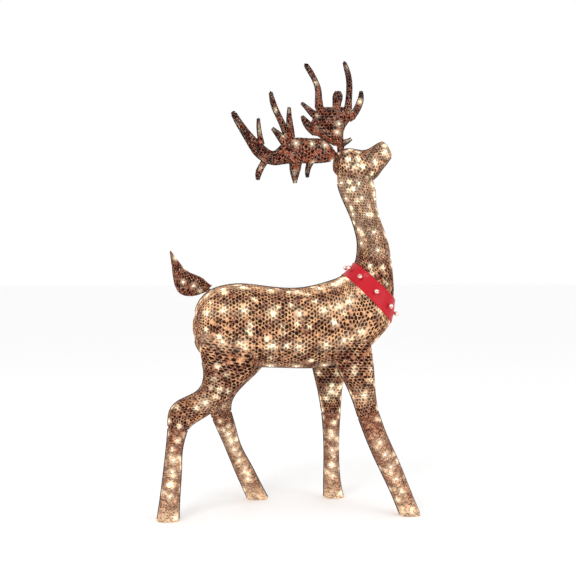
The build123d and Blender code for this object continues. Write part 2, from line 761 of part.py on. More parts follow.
def build_tail():
    """The short upturned tail, on one post."""
    outer = tube(TAIL, 0, ROUND)
    inner = tube(TAIL[:-1], SKIN, ROUND)
    NODES["tail_skin"] = [outer.cut(inner).solid()]
    at, out = post_axis(TAIL[0])
    middles = [section(st)[0] for st in TAIL[1:-2]]
    spine = wire([at, at + out * TAIL_POST] + middles[1:], TAIL_POST, TAIL_BEND)
    seat = Solid.extrude(ring(TAIL[0], SKIN + TAIL_SEAT, ROUND), out * PLATE)
    NODES["tail_post"] = [joined([rod(at - out * TAIL_POST_IN, at + out, TAIL_POST), spine, seat]).solid()]
    run = [light_at(TAIL[i], 270, ROUND) for i in (2, 3)]
    NODES["tail_light_string"] = string(run)
    NODES["tail_led_lenses"] = [lens(each) for each in run]


# ------------------------------------------------------------------ lower legs

def build_shin(leg):
    """A lower leg: skin, cage, plug-in post and foot, with its own short light string."""
    sts = open_start(LOWER[leg])
    NODES[leg + "_leg_skin"] = [tube(sts, 0, BOXY).cut(tube(sts, SKIN, BOXY)).solid()]
    first = behind_plate(LOWER[leg])
    last = beside(LOWER[leg][::-1], 0, PLATE + WIRE_END)
    cage = [long_wire([first] + LOWER[leg][1:-1] + [last], angle, BOXY) for angle in CORNERS]
    NODES[leg + "_leg_frame"] = cage + [hoop(st, BOXY) for st in LOWER[leg][1:-1]]
    top = LOWER[leg][0]
    plate = bulkhead(LOWER[leg], BOXY)
    NODES[leg + "_leg_post"] = [
        joined([plate, post(top, LEG_POST, LEG_POST_IN, LEG_POST_OUT)]).solid(),
        plug(top, LEG_PLUG_OFFSET),
    ]
    lowest = STAKE_DEPTH + 2 * HOLDER
    highest = section(top)[0].Z - PLATE_BACK - LEG_POST_OUT - HOLDER
    lit = [i for i, st in enumerate(LOWER[leg]) if lowest < section(st)[0].Z < highest]
    run = round_hoops(LOWER[leg], lit, SIDES, BOXY)
    NODES[leg + "_leg_light_string"] = [holder(each) for each in run]
    NODES[leg + "_leg_led_lenses"] = [lens(each) for each in run]
    NODES[leg + "_foot"] = [foot(leg)]


def stake_ends(leg):
    """Mouth and blind end of the stake bore, upright within the lean of the leg."""
    share = STAKE_DEPTH / 2 / section(LOWER[leg][-2])[0].Z
    middle = section(between(LOWER[leg], len(LOWER[leg]) - 1 - share))[0]
    return Vector(middle.X, middle.Y, 0), Vector(middle.X, middle.Y, STAKE_DEPTH)


def foot(leg):
    """The foot's floor plate with the upright tube that takes a ground stake."""
    plate = Solid.extrude(ring(LOWER[leg][-1], SKIN + PLATE_EDGE, BOXY), Vector(0, 0, PLATE))
    low, high = stake_ends(leg)
    shaft = plate.fuse(rod(low, high + Vector(0, 0, TUBE_WALL), STAKE_TUBE))
    return shaft.cut(rod(low, high, STAKE_BORE)).solid()


# ------------------------------------------------------------------ build


def main():
    build_body()
    build_head()
    build_collar()
    for name, shape in ANTLERS.items():
        build_antler(name, shape)
    build_tail()
    for leg in LEGS:
        build_shin(leg)
    os.makedirs("parts", exist_ok=True)
    for name, solids in NODES.items():
        export_step(Compound(children=list(solids)), f"parts/{name}.step")


main()
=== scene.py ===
"""The looks of the light-up reindeer: netting, lamp tips, ribbon, binding wires and the stage."""

import json

import bpy
import numpy as np
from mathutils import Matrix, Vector


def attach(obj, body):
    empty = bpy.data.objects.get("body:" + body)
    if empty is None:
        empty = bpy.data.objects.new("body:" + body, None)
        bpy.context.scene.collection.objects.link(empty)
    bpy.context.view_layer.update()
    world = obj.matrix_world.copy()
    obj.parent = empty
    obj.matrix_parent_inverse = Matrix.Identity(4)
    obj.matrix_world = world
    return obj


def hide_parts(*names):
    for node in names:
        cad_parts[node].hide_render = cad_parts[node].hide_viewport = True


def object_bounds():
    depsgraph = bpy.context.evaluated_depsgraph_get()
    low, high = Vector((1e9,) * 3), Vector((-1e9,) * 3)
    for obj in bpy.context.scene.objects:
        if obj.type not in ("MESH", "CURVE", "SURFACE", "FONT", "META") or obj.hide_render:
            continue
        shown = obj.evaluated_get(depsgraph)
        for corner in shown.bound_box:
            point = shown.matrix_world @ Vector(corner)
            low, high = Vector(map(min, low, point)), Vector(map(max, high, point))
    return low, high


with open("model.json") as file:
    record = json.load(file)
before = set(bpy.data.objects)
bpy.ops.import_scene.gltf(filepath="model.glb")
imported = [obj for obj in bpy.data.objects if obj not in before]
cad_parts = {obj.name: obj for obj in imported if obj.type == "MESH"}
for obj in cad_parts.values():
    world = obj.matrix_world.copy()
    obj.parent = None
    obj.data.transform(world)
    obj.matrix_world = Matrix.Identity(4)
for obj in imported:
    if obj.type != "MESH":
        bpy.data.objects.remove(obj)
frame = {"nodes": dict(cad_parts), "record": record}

bl_info = {
    "name": "Light-up yard reindeer",
    "version": (1, 0, 0),
    "blender": (4, 2, 0),
    "location": "View3D > Sidebar > Reindeer",
    "description": "Makes the netting, lamps, ribbon and stage round the packed frame",
    "category": "Object",
}

CAD_BOX = [list(corner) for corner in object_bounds()]

# The drawing is in millimetres and has this height and middle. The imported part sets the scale: a size in
# metres divided by SCALE is in drawn millimetres.
DRAWN_HEIGHT = 1300.0
DRAWN_MIDDLE = -6.5
SCALE = (CAD_BOX[1][2] - CAD_BOX[0][2]) / DRAWN_HEIGHT
ROUND = 2.2  # power of the cross sections' curve: 2 is an ellipse
BOXY = 3.4  # the same for the legs, which are squarer

# How tubes are sampled.
SHORTEST_STEP = 0.5  # mm between two knots of a spline
SLOPE_STEP = 0.002  # share of a turn or of a length that a slope is taken over
ROWS, AROUND = 60, 49  # rows along and points around a tube that is measured
DOME_DEPTH = 0.14  # of half the width of the end that a dome closes
DOME_ANGLES = np.radians([25, 48, 67, 80, 87])

# How much the netting's meshes vary. Shares are of a mesh, and heights are in drawn millimetres.
HEXAGON = 0.866  # a row of six-sided meshes to their width: the cosine of 30 degrees
ZIGZAG_SHIFT, SIDE_SHIFT = 0.26, 0.48
THREAD_RISE = (-0.1, 0.5)
LIP_SHARE, LIP_UNEVEN, LIP_DROP = (0.5, 0.9), (-0.12, 0.08), 0.3
# The hollow shares say how much of the hollow colour, a painted shade, goes on the lips, floors and inside
# walls of the holes.
SHUT_SHARE, SHUT_DEPTH, SHUT_HOLLOW = 0.5, 0.1, 0.15  # the meshes that glitter thread fills
OPEN_SHARE, FLOOR_DROP, LIP_HOLLOW = 0.8, 0.2, 0.25
LINING = 2.7  # from the outside of an open tube to its inside wall
LINING_HOLLOW, MIDDLE_CHANCE = 0.6, 0.5
SEED_STEP = 31  # between the seeds of pieces whose names differ in length

# Wires and lamps, in drawn millimetres.
WIRE_RADIUS, WIRE_STEP, WIRE_LIFT, WIRE_SIDES = 2.3, 9, 0.2, 6
TIP_RADIUS, TIP_PROUD, TIP_SIDES = 2.3, 1.6, 12
TIP_ANGLES = np.radians([8, 30, 55, 90])
TIP_ASLANT = [0.31, 0.52, 0.79]  # a direction that no lamp points in
TIP_GRID = (97, 160)  # points around and along a tube that a tip is aimed at
SAME_LAMP = 8  # two middles this near are one lamp
JOINING_PASSES = 200
HALO_SHARE = 0.16  # brightness of a lamp's halo to its core
POINTS_AT_ONCE = 20000
GLINT_ALONG, GLINT_SHARE = (0.04, 0.97), (0.35, 1.0)
FLOOR_GLOW_HEIGHT = 38  # how far up the legs the light at the feet reaches

# The ribbon, in drawn millimetres out from the netting.
RIBBON_GRID = (240, 33)  # points around and across it
RIBBON_START = 0.25  # of the way from its first row to its second
RIBBON_OUTSIDE, RIBBON_INSIDE = 3.7, 1.5
RIBBON_SPARK = (0.66, 0.006, 0.02)

# The netting's finish. The tones say how much each thing lightens or darkens the thread.
FLAKES, DULL_FLAKES = 700.0, 0.86  # glitter flakes per metre, and the share of them that are dull
PATCH_TONE, THREAD_TONE, CHANCE_TONE, DARK_TONE = 3.2, 2.0, 0.7, 2.55
HOLE_DIMMING, NETTING_ROUGHNESS, FLAKE_SHINE, NETTING_SPECULAR = 0.55, 0.62, 0.4, 0.06
GLITTER_WHITE, LAMP_WHITE, LAMP_LIGHT = (1.0, 0.93, 0.78, 1.0), (1.0, 0.97, 0.9), 1.6

# The stage, in metres. A light has a name, a place, watts and a size.
FLOOR_HALF, FLOOR_LEVEL = 30, -0.001
LIGHT_AIM = (0, 0, 0.65)
LIGHTS = (("key", (-1.6, -2.6, 2.6), 42.0, 1.4), ("fill", (2.4, -2.0, 1.4), 20.0, 1.8))
CAMERA_PLACE, CAMERA_LOOK = (-0.2705, -2.927, 0.7), (0.094, 0.996, -0.024)
CAMERA_LENS, CAMERA_SENSOR = 64.25, 36.0  # mm
WHITE = (1.0, 1.0, 1.0, 1.0)
BLACK = (0.0, 0.0, 0.0, 1.0)


def rows(*sections):
    """Cross sections as rows of two edge points (x, z, x, z), the middle's y and half the width.

    A tube that goes on from another starts with its last row."""
    return np.array(sections, float)


TORSO = rows(
    (-268, 545, -268, 497, 0, 30), (-258, 584, -260, 462, 0, 66), (-234, 615, -238, 438, 0, 94),
    (-190, 635, -196, 418, 0, 112), (-137, 641, -140, 408, 0, 118), (-60, 633, -60, 405, 0, 118),
    (15, 628, 15, 402, 0, 116), (80, 637, 92, 403, 0, 113), (118, 648, 150, 414, 0, 108),
    (136, 654, 210, 440, 0, 104), (147, 659, 262, 488, 0, 98), (155, 663, 290, 522, 0, 92),
    (164, 670, 298, 548, 0, 86), (176, 681, 301, 562, 0, 82),
)
NECK = rows(
    TORSO[-1],
    (192, 700, 303, 594, 0, 78), (199, 728, 303, 640, 0, 74), (200, 758, 297, 700, 0, 69),
    (193, 795, 285, 768, 0, 63), (178, 838, 264, 826, 0, 57), (158, 882, 252, 876, 0, 53),
    (143, 926, 250, 912, 0, 51), (142, 966, 243, 942, 0, 44),
)
HEAD = rows(
    (134, 1002, 134, 960, 0, 30), (146, 1019, 160, 936, 0, 42), (172, 1028, 205, 928, 0, 50),
    (198, 1025, 240, 938, 0, 49), (216, 1023, 256, 951, 0, 44), (236, 1029, 270, 970, 0, 37),
    (258, 1043, 284, 987, 0, 30), (274, 1049, 298, 1008, 0, 24),
)
TAIL = rows(
    (-232, 619.5, -218, 638.5, 0, 8), (-240, 617, -223, 640, 0, 9), (-256, 611, -240, 655, 0, 17),
    (-280, 607, -262, 667, 0, 22), (-310, 616, -286, 678, 0, 22), (-324, 642, -299, 690, 0, 17),
    (-330, 680, -312, 706, 0, 11), (-337, 733, -334, 736, 0, 3),
)
LEGS = ("near_hind", "far_hind", "near_front", "far_front")
UPPER = {
    "near_hind": rows(
        (-110, 490, -250, 505, -66, 38), (-95, 425, -252, 455, -72, 40), (-140, 362, -242, 402, -80, 36),
        (-206, 300, -264, 345, -89, 30), (-276, 256, -337, 292, -100, 25), (-288, 244, -340, 250, -104, 24),
    ),
    "far_hind": rows(
        (-90, 490, -245, 505, 66, 38), (-60, 425, -246, 455, 72, 40), (-108, 360, -230, 402, 80, 36),
        (-140, 327, -227, 352, 85, 31), (-158, 298, -228, 305, 90, 27), (-162, 265, -214, 243, 95, 24),
    ),
    "near_front": rows(
        (226, 478, 118, 480, -62, 36), (231, 428, 122, 430, -74, 38), (233, 390, 140, 390, -82, 35),
        (235, 340, 165, 338, -90, 29), (241, 291, 188, 269, -95, 24),
    ),
    "far_front": rows(
        (190, 470, 78, 470, 62, 36), (184, 420, 76, 420, 72, 38), (176, 378, 84, 378, 80, 34),
        (167, 330, 96, 330, 86, 29), (163, 258, 109, 260, 92, 24),
    ),
}
LOWER = {
    "near_hind": rows(
        UPPER["near_hind"][-1],
        (-301, 198, -344, 203, -108, 21), (-305, 136, -351, 141, -112, 22), (-309, 71, -359, 76, -116, 24),
        (-312, 0, -370, 0, -120, 26),
    ),
    "far_hind": rows(
        UPPER["far_hind"][-1],
        (-148, 215, -193, 196, 99, 22), (-134, 166, -173, 149, 103, 21), (-101, 101, -146, 82, 110, 22),
        (-76, 51, -128, 41, 115, 24), (-50, 0, -110, 0, 120, 26),
    ),
    "near_front": rows(
        UPPER["near_front"][-1],
        (267, 218, 215, 197, -102, 22), (297, 150, 245, 130, -108, 22), (324, 82, 276, 64, -114, 23),
        (357, 0, 302, 0, -120, 26),
    ),
    "far_front": rows(
        UPPER["far_front"][-1],
        (160, 197, 115, 198, 98, 21), (161, 106, 118, 106, 107, 21), (167, 44, 118, 45, 113, 23),
        (177, 0, 119, 0, 120, 26),
    ),
}

ANTLERS = {
    "near_antler": dict(
        root=((138, -25, 1001, 7), (134, -27, 1005, 9), (124, -30, 1007, 13), (112, -34, 1010, 14)),
        beam=rows(
            (122, 992, 130, 1020, -29, 12), (96, 986, 97, 1046, -41, 14), (58, 983, 60, 1049, -50, 14),
            (10, 982, 15, 1049, -60, 14), (-28, 977, -22, 1032, -68, 12), (-50, 975, -45, 1011, -74, 11),
            (-84, 987, -68, 1018, -80, 10), (-120, 1029, -104, 1050, -88, 8),
            (-153, 1084, -140, 1092, -97, 6), (-168, 1113, -158, 1118, -102, 5),
        ),
        tines=(
            ((-82, -82, 1020, 9), (-86, -84, 1048, 5.5), (-90, -86, 1075, 4), (-91, -88, 1102, 2)),
            ((-8, -64, 1028, 12), (-24, -72, 1046, 9.5), (-40, -80, 1062, 6), (-54, -86, 1075, 2)),
            ((-4, -64, 1042, 11), (-16, -68, 1072, 8), (-34, -76, 1108, 6.5), (-50, -84, 1143, 6),
             (-58, -90, 1176, 2.5)),
            ((2, -62, 1042, 10), (0, -56, 1075, 8.5), (-2, -50, 1105, 6), (-2, -46, 1140, 2.2)),
            ((-66, -78, 992, 8), (-82, -80, 968, 7), (-90, -76, 950, 7), (-92, -72, 930, 2)),
            ((16, -58, 992, 16), (14, -54, 962, 13), (14, -48, 940, 7), (15, -44, 924, 2)),
            ((60, -50, 992, 10), (53, -44, 972, 6), (50, -40, 955, 4.5), (51, -38, 941, 2)),
        ),
    ),
    "far_antler": dict(
        root=((152, 21, 1013, 8), (153, 25, 1026, 9), (155, 30, 1038, 11), (156, 34, 1048, 11)),
        beam=rows(
            (142, 1040, 170, 1040, 32, 11), (112, 1056, 164, 1054, 38, 13), (84, 1078, 163, 1078, 46, 14),
            (73, 1105, 174, 1105, 54, 14), (84, 1130, 190, 1130, 60, 13), (93, 1148, 185, 1150, 65, 9),
            (102, 1156, 176, 1158, 68, 4),
        ),
        tines=(
            ((99, 62, 1138, 13), (96, 70, 1175, 9), (95, 80, 1212, 7), (84, 90, 1245, 6),
             (70, 98, 1272, 6), (59, 102, 1290, 4)),
            ((150, 64, 1142, 13), (149, 68, 1165, 10), (152, 74, 1184, 13), (154, 78, 1198, 11),
             (154, 80, 1207, 5)),
            ((180, 62, 1136, 12), (184, 70, 1170, 8), (188, 80, 1210, 7), (187, 88, 1250, 6.5),
             (180, 94, 1280, 5), (174, 97, 1299, 2)),
            ((182, 58, 1122, 13), (202, 62, 1142, 8.5), (214, 66, 1164, 8), (221, 70, 1186, 6.5),
             (222, 72, 1208, 2.5)),
            ((90, 60, 1126, 10), (70, 70, 1146, 7), (55, 80, 1163, 4), (46, 86, 1172, 2)),
            ((92, 48, 1078, 13), (68, 58, 1098, 11), (55, 66, 1116, 7.5), (46, 72, 1132, 2)),
            ((156, 33, 1047, 8), (172, 27, 1052, 5.5), (186, 20, 1060, 2)),
        ),
    ),
}


# ---- surfaces


def knots_of(table):
    """Distances along a tube at its rows. A step is the larger of the middle's and the edges' mean travel."""
    steps = np.diff(table, axis=0)
    middle = np.hypot(np.hypot(steps[:, 0] + steps[:, 2], steps[:, 1] + steps[:, 3]) / 2, steps[:, 4])
    edges = (np.hypot(steps[:, 0], steps[:, 1]) + np.hypot(steps[:, 2], steps[:, 3])) / 2
    return np.concatenate([[0.0], np.cumsum(np.maximum(np.maximum(middle, edges), SHORTEST_STEP))])


def spline(table, at):
    """Natural cubic spline through a table's rows, at shares of the run of their knots.

    Between knots a distance h apart, with b the share of the way and a = 1 - b, a value is
    a y0 + b y1 + ((a^3 - a) m0 + (b^3 - b) m1) h^2 / 6. The m are 0 at both ends and solve
    h0 m0 + 2 (h0 + h1) m1 + h1 m2 = 6 (s1 - s0), where s are the slopes."""
    knots = knots_of(table)
    gaps = np.diff(knots)
    slopes = np.diff(table, axis=0) / gaps[:, None]
    system, right = np.eye(len(table)), np.zeros_like(table)
    inner = np.arange(1, len(table) - 1)
    system[inner, inner - 1] = gaps[:-1]
    system[inner, inner] = 2 * (gaps[:-1] + gaps[1:])
    system[inner, inner + 1] = gaps[1:]
    right[inner] = 6 * np.diff(slopes, axis=0)
    bends = np.linalg.solve(system, right)
    where = np.clip(at, 0, 1) * knots[-1]
    i = np.clip(np.searchsorted(knots, where, side="right") - 1, 0, len(gaps) - 1)
    h = gaps[i][:, None]
    b = (where[:, None] - knots[i][:, None]) / h
    a = 1 - b
    return a * table[i] + b * table[i + 1] + ((a**3 - a) * bends[i] + (b**3 - b) * bends[i + 1]) * h * h / 6


def surface(table, power, u, v):
    """Points of a tube: middle + across c k + sideways s k, with c, s the cosine and sine of 2 pi u
    and k = (|c|^power + |s|^power)^(-1 / power)."""
    row = spline(table, v)
    c, s = np.cos(2 * np.pi * u), np.sin(2 * np.pi * u)
    k = (np.abs(c) ** power + np.abs(s) ** power) ** (-1 / power)
    middle = np.column_stack([row[:, 0] + row[:, 2], 2 * row[:, 4], row[:, 1] + row[:, 3]]) / 2
    across = np.column_stack([row[:, 2] - row[:, 0], np.zeros(len(row)), row[:, 3] - row[:, 1]]) / 2
    sideways = np.column_stack([np.zeros(len(row)), row[:, 5], np.zeros(len(row))])
    return middle + across * (c * k)[:, None] + sideways * (s * k)[:, None]


def normals(table, power, u, v):
    """Unit normals of a tube: the cross product of its slopes along u and v, by small differences."""
    low, high = np.clip(v - SLOPE_STEP, 0, 1), np.clip(v + SLOPE_STEP, 0, 1)
    along_u = surface(table, power, u + SLOPE_STEP, v) - surface(table, power, u - SLOPE_STEP, v)
    along_v = surface(table, power, u, high) - surface(table, power, u, low)
    square = np.cross(along_u, along_v)
    return square / np.maximum(np.linalg.norm(square, axis=1), 1e-9)[:, None]


def run(table, power):
    """Length along a tube and the mean of its rings' lengths."""
    u, v = np.tile(np.linspace(0, 1, AROUND), ROWS), np.repeat(np.linspace(0, 1, ROWS), AROUND)
    grid = surface(table, power, u, v).reshape(ROWS, AROUND, 3)
    around = np.linalg.norm(np.diff(grid, axis=1), axis=2).sum(1)
    return knots_of(table)[-1], around.mean()


def domed(table, start):
    """The table with rows that round off one end: at angle t, depth sin t further and cos t as large."""
    end, t = table[0] if start else table[-1], DOME_ANGLES
    depth = DOME_DEPTH * end[5]
    middle, half = (end[:2] + end[2:4]) / 2, (end[2:4] - end[:2]) / 2
    forward = np.array([-half[1], half[0]]) / np.linalg.norm(half)
    middles = middle + np.outer(np.sin(t) * depth, -forward if start else forward)
    halves = np.outer(np.cos(t), half)
    added = np.column_stack([middles - halves, middles + halves, np.full(len(t), end[4]), end[5] * np.cos(t)])
    return np.vstack([added[::-1], table]) if start else np.vstack([table, added])


def prong(points):
    """Rows of a round tine from (x, y, z, radius): the edges are the point -+ radius times (dz, -dx), where
    (dx, dz) is the unit direction of the path."""
    path = np.array(points, float)
    step = np.gradient(path[:, [0, 2]], axis=0)
    step /= np.linalg.norm(step, axis=1)[:, None]
    side = np.column_stack([step[:, 1], -step[:, 0]]) * path[:, 3:]
    return np.column_stack([path[:, [0, 2]] - side, path[:, [0, 2]] + side, path[:, 1], path[:, 3]])


# ---- meshes


class Shell:
    """Points, triangles, quads and point values that grow into one mesh."""

    def __init__(self):
        self.points, self.tris, self.quads, self.values, self.count = [], [], [], [], 0

    def add(self, points, tris, quads, **values):
        """Takes whole arrays; the faces count from the first of these points."""
        self.points.append(points)
        self.tris.append(np.asarray(tris, int).reshape(-1, 3) + self.count)
        self.quads.append(np.asarray(quads, int).reshape(-1, 4) + self.count)
        self.values.append({key: np.broadcast_to(value, len(points)) for key, value in values.items()})
        self.count += len(points)

    def make(self, name, material, smooth, **extra):
        """The mesh object, in metres in the part's frame, with its values as point attributes."""
        points = np.vstack(self.points)
        metres = (points - [DRAWN_MIDDLE, 0, 0]) * SCALE
        faces = np.vstack(self.tris).tolist() + np.vstack(self.quads).tolist()
        mesh = bpy.data.meshes.new(name)
        mesh.from_pydata(metres.tolist(), [], faces)
        mesh.polygons.foreach_set("use_smooth", np.full(len(faces), smooth))
        values = {key: np.concatenate([each[key] for each in self.values]) for key in self.values[0]}
        values.update({key: value(points) for key, value in extra.items()})
        for key, value in values.items():
            mesh.attributes.new(key, "FLOAT", "POINT").data.foreach_set("value", value.astype(np.float32))
        mesh.materials.append(material)
        mesh.update()
        made = bpy.data.objects.new(name, mesh)
        bpy.context.scene.collection.objects.link(made)
        return made


def ring_quads(a, b, count):
    """Quads between two closed rings of points that start at a and b: (a, a + 1, b + 1, b) for each step."""
    k = np.arange(count)
    n = (k + 1) % count
    return np.column_stack([a + k, a + n, b + n, b + k])


def weave(shell, table, power, cell, stretch, depth, open_start, open_end, seed, closed_share, shading):
    """Adds a thin netting tube to the shell.

    Its outside is a grid of six-sided meshes. Line j, at v = j / m, is a zigzag of 2 n points whose v moves
    by -+ 1 / (6 m), so that the points of lines j and j + 1 round a centre make a hexagon. In each hexagon an
    inner ring, at a random share of the way from the centre, drops to a floor at the hole's depth. Ends that
    are open fold over to an inside wall. Ends that are closed shrink to a point."""
    rng = np.random.default_rng(seed)
    table = spline(table, np.linspace(0, 1, ROWS))
    if not open_start:
        table = domed(table, True)
    if not open_end:
        table = domed(table, False)
    length, around = run(table, power)
    n, m = max(5, round(around / cell)), max(4, round(length / (HEXAGON * cell * stretch)))
    k, j = np.meshgrid(np.arange(2 * n), np.arange(m + 1))
    inside = ((j > 0) & (j < m)).astype(float)
    zigzag = np.where((k + j) % 2 == 1, -1.0, 1.0) / 6 + rng.uniform(-ZIGZAG_SHIFT, ZIGZAG_SHIFT, k.shape)
    u = ((k + rng.uniform(-SIDE_SHIFT, SIDE_SHIFT, k.shape) * inside) / (2 * n)).ravel()
    v = ((j + zigzag * inside) / m).ravel()
    crest = surface(table, power, u, v)
    out = normals(table, power, u, v)
    crest = crest + out * (rng.uniform(*THREAD_RISE, len(u)) * inside.ravel())[:, None]
    row = np.repeat(np.arange(m), n)
    centre = 2 * np.tile(np.arange(n), m) + 1 - row % 2
    line = 2 * n
    low, high = row * line, (row + 1) * line
    before, after, here = (centre - 1) % line, (centre + 1) % line, centre % line
    hexes = np.column_stack([low + before, low + here, low + after, high + after, high + here, high + before])
    corner = crest[hexes]
    middle = corner.mean(1, keepdims=True)
    square = np.cross(corner[:, 2] - corner[:, 5], corner[:, 3] - corner[:, 0])
    square = (square / np.maximum(np.linalg.norm(square, axis=1), 1e-9)[:, None])[:, None, :]
    cells = len(hexes)
    shut = rng.random((cells, 1, 1)) < closed_share
    lip = rng.uniform(*LIP_SHARE, (cells, 1, 1)) + rng.uniform(*LIP_UNEVEN, (cells, 6, 1))
    first = middle + (corner - middle) * lip - square * LIP_DROP
    second = middle + (corner - middle) * lip * np.where(shut, SHUT_SHARE, OPEN_SHARE)
    second = second - square * np.where(shut, SHUT_DEPTH, depth)
    floor = middle - square * np.where(shut, -LIP_DROP, depth + FLOOR_DROP)
    base = len(crest)
    ring = base + np.arange(cells)[:, None] * 6 + np.arange(6)
    under, hub = ring + 6 * cells, base + 12 * cells + np.arange(cells)
    after = np.roll(np.arange(6), -1)
    quads = [np.stack([hexes, hexes[:, after], ring[:, after], ring], 2).reshape(-1, 4)]
    quads.append(np.stack([ring, ring[:, after], under[:, after], under], 2).reshape(-1, 4))
    tris = [np.stack([under, under[:, after], np.repeat(hub[:, None], 6, 1)], 2).reshape(-1, 3)]
    points = [crest, first.reshape(-1, 3), second.reshape(-1, 3), floor.reshape(-1, 3)]
    # The holes are shut by floors that take the dark hollow colour: painted shade where the real netting opens
    # onto its shadowed inside.
    hollow = np.where(shut.ravel(), SHUT_HOLLOW, 1.0)
    hole = [np.zeros(base), np.repeat(LIP_HOLLOW * hollow, 6), np.repeat(hollow, 6), hollow]
    shade = rng.random(cells)
    chance = [rng.random(base), np.repeat(shade, 6), np.repeat(shade, 6), shade]
    along = [v, np.repeat(v[low + here], 12), v[low + here]]
    about = [u, np.repeat(u[low + here], 12), u[low + here]]
    total = base + 13 * cells
    ends = [(0, False, 0.0)] * (not open_start) + [(m * line, True, 1.0)] * (not open_end)
    if open_start or open_end:
        lines = np.unique(np.append(np.arange(0, m, 2), m))
        turn, way = np.tile(np.arange(line), len(lines)) / line, np.repeat(lines / m, line)
        points.append(surface(table, power, turn, way) - LINING * normals(table, power, turn, way))
        starts = total + line * np.arange(len(lines))
        quads += [ring_quads(b, a, line) for a, b in zip(starts[:-1], starts[1:])]
        quads += [ring_quads(0, total, line)[:, ::-1]] * open_start
        quads += [ring_quads(m * line, starts[-1], line)] * open_end
        ends += [(total, True, 0.0)] * (not open_start) + [(starts[-1], False, 1.0)] * (not open_end)
        total += line * len(lines)
    step = np.arange(line)
    for number, (start, forward, at) in enumerate(ends):
        points.append(surface(table, power, np.arange(4) / 4, np.full(4, at)).mean(0)[None])
        fan = np.column_stack([start + step, start + (step + 1) % line, np.full(line, total + number)])
        tris.append(fan if forward else fan[:, ::-1])
    points = np.vstack(points)
    rest = len(points) - base - 13 * cells
    about, along = np.concatenate(about + [np.full(rest, 0.25)]), np.concatenate(along + [np.full(rest, 0.5)])
    shell.add(points, np.vstack(tris), np.vstack(quads),
              hole=np.concatenate(hole + [np.full(rest, LINING_HOLLOW)]),
              chance=np.concatenate(chance + [np.full(rest, MIDDLE_CHANCE)]),
              dark=shading(about, along))


def capped(shell, rings, ends, turned):
    """Adds a tube of rings of points, with a fan from each end's ring to its end point. Rings that run the
    other way round have their faces turned."""
    count, sides = rings.shape[:2]
    quads = np.vstack([ring_quads(i * sides, (i + 1) * sides, sides) for i in range(count - 1)])
    k = np.arange(sides)
    after, last, hub = (k + 1) % sides, (count - 1) * sides, np.full(sides, count * sides)
    fans = np.vstack([np.column_stack([after, k, hub]), np.column_stack([last + k, last + after, hub + 1])])
    if turned:
        quads, fans = quads[:, ::-1], fans[:, [1, 0, 2]]
    points = np.vstack([rings.reshape(-1, 3), ends])
    shell.add(points, fans, quads, hole=0.0, chance=MIDDLE_CHANCE, dark=0.0)


def sweep(shell, path, out):
    """Adds a closed wire along a path. A ring's points are path + r (cos t out + sin t (out x direction)),
    where r is the wire's radius."""
    step = np.gradient(path, axis=0)
    step /= np.linalg.norm(step, axis=1)[:, None]
    aside = np.cross(out, step)
    t = 2 * np.pi * np.arange(WIRE_SIDES) / WIRE_SIDES
    rings = np.cos(t)[:, None] * out[:, None] + np.sin(t)[:, None] * aside[:, None]
    capped(shell, path[:, None] + WIRE_RADIUS * rings, path[[0, -1]], True)


def binding(shell, table, power, u, low, high):
    """Adds a wire that runs along a tube at a fixed u, from one share of its length to another."""
    length, _ = run(table, power)
    v = np.linspace(low, high, max(3, int(length * (high - low) / WIRE_STEP)))
    turn = np.full(len(v), float(u))
    out = normals(table, power, turn, v)
    sweep(shell, surface(table, power, turn, v) + WIRE_LIFT * out, out)


def lamp_centres(node):
    """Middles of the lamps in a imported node, in drawn millimetres: the mean point of each joined-up piece."""
    mesh = frame["nodes"][node].data
    points = np.empty(len(mesh.vertices) * 3)
    mesh.vertices.foreach_get("co", points)
    edges = np.empty(len(mesh.edges) * 2, int)
    mesh.edges.foreach_get("vertices", edges)
    edges, label = edges.reshape(-1, 2), np.arange(len(mesh.vertices))
    for _ in range(JOINING_PASSES):
        least = label[edges].min(1)
        old = label.copy()
        np.minimum.at(label, edges[:, 0], least)
        np.minimum.at(label, edges[:, 1], least)
        if (old == label).all():
            break
    _, group = np.unique(label, return_inverse=True)
    sums = np.zeros((group.max() + 1, 3))
    np.add.at(sums, group, points.reshape(-1, 3))
    middles = sums / np.bincount(group)[:, None] / SCALE + [DRAWN_MIDDLE, 0, 0]
    near = np.linalg.norm(middles[:, None] - middles[None], axis=2) < SAME_LAMP
    return middles[~np.tril(near, -1).any(1)]


def glow_of(centres, core, halo):
    """A function of points: the sum over lamps of exp(-(d / core)^2) + s exp(-(d / halo)^2), where d is the
    distance and s is the halo's share."""

    def value(points):
        total = np.zeros(len(points))
        for part in np.array_split(np.arange(len(points)), max(1, len(points) // POINTS_AT_ONCE)):
            square = ((points[part][:, None] - centres[None]) ** 2).sum(2)
            total[part] = (np.exp(-square / core**2) + HALO_SHARE * np.exp(-square / halo**2)).sum(1)
        return total

    return value


def glints_of(tubes, count, seed, size):
    """A function of points: the sum over random places on tubes of a random share of exp(-(d / size)^2)."""
    # The glints are painted: bright spots of lamp light on the glitter, added to the netting's glow.
    rng = np.random.default_rng(seed)
    tables = [each for each in tubes for _ in range(count)]
    spots = [surface(each[0], each[1], rng.random(1), rng.uniform(*GLINT_ALONG, 1))[0] for each in tables]
    shares = rng.uniform(*GLINT_SHARE, len(tables))

    def value(points):
        total = np.zeros(len(points))
        for spot, share in zip(spots, shares):
            total += share * np.exp(-((points - spot) ** 2).sum(1) / size**2)
        return total

    return value


